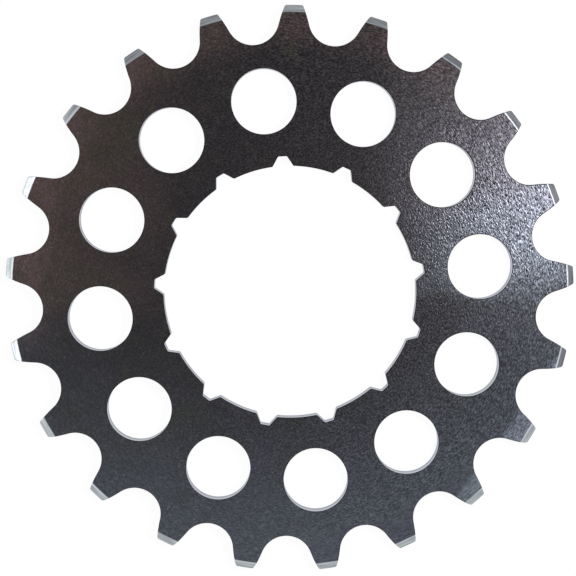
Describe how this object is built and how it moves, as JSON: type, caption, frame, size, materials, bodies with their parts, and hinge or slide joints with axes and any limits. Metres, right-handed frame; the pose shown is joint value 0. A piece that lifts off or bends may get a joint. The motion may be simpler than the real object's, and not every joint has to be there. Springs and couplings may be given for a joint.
{
  "type": "chain sprocket",
  "caption": "Flat one-piece chain sprocket with bevelled tooth tips, a notched spline bore and a ring of round lightening holes.",
  "frame": {"origin": "on the bore's axis, in the plane of the back face that the plate lies on", "axes": "+Z along the bore's axis, out of the front face; +X through the middles of a tooth, a lightening hole and a spline notch"},
  "size_m": [0.0888, 0.089, 0.0023],
  "materials": {
    "plated_steel": "dark plated steel, semi-gloss with a fine speckle; brighter satin on the tip bevels and cut walls"
  },
  "bodies": {
    "root": {"sprocket": "plated_steel"}
  },
  "joints": []
}
